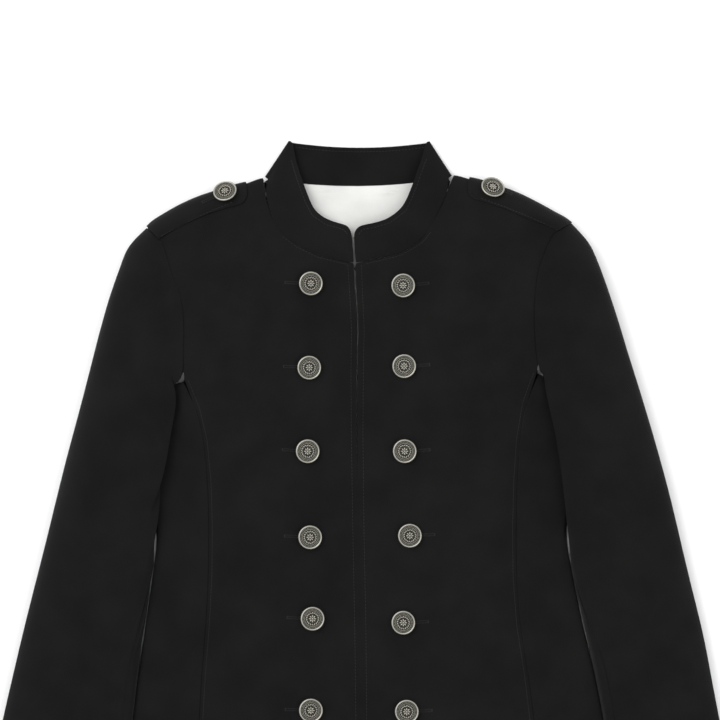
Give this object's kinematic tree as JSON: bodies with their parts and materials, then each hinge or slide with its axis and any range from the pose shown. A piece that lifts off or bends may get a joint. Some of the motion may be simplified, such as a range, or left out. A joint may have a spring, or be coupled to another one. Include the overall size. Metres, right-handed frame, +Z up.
{
  "type": "napoleon jacket",
  "caption": "Fitted stand-collar jacket with two rows of shank buttons and shoulder straps, laid flat on its back.",
  "frame": {"origin": "middle of the laid jacket's outline, on the table", "axes": "+Z up from the table, +Y towards the collar, +X towards the sleeve at the right of the picture"},
  "size_m": [0.7184, 0.688, 0.0313],
  "materials": {
    "black_cloth": "matte fine twill",
    "white_lining": "soft sheen",
    "aged_pewter": "aged, dark in the hollows",
    "black_steel": "blackened wire"
  },
  "bodies": {
    "root": {"back": "black_cloth", "front_left": "black_cloth", "front_right": "black_cloth", "side_left": "black_cloth", "side_right": "black_cloth", "sleeve_upper_left": "black_cloth", "sleeve_upper_right": "black_cloth", "sleeve_under_left": "black_cloth", "sleeve_under_right": "black_cloth", "collar": "black_cloth", "strap_left": "black_cloth", "strap_right": "black_cloth", "neck_lining": "white_lining", "hook": "black_steel", "eye": "black_steel", "strap_button_left": "aged_pewter", "strap_button_right": "aged_pewter", "button_left_1": "aged_pewter", "button_left_2": "aged_pewter", "button_left_3": "aged_pewter", "button_left_4": "aged_pewter", "button_left_5": "aged_pewter", "button_left_6": "aged_pewter", "button_right_1": "aged_pewter", "button_right_2": "aged_pewter", "button_right_3": "aged_pewter", "button_right_4": "aged_pewter", "button_right_5": "aged_pewter", "button_right_6": "aged_pewter"}
  },
  "joints": []
}
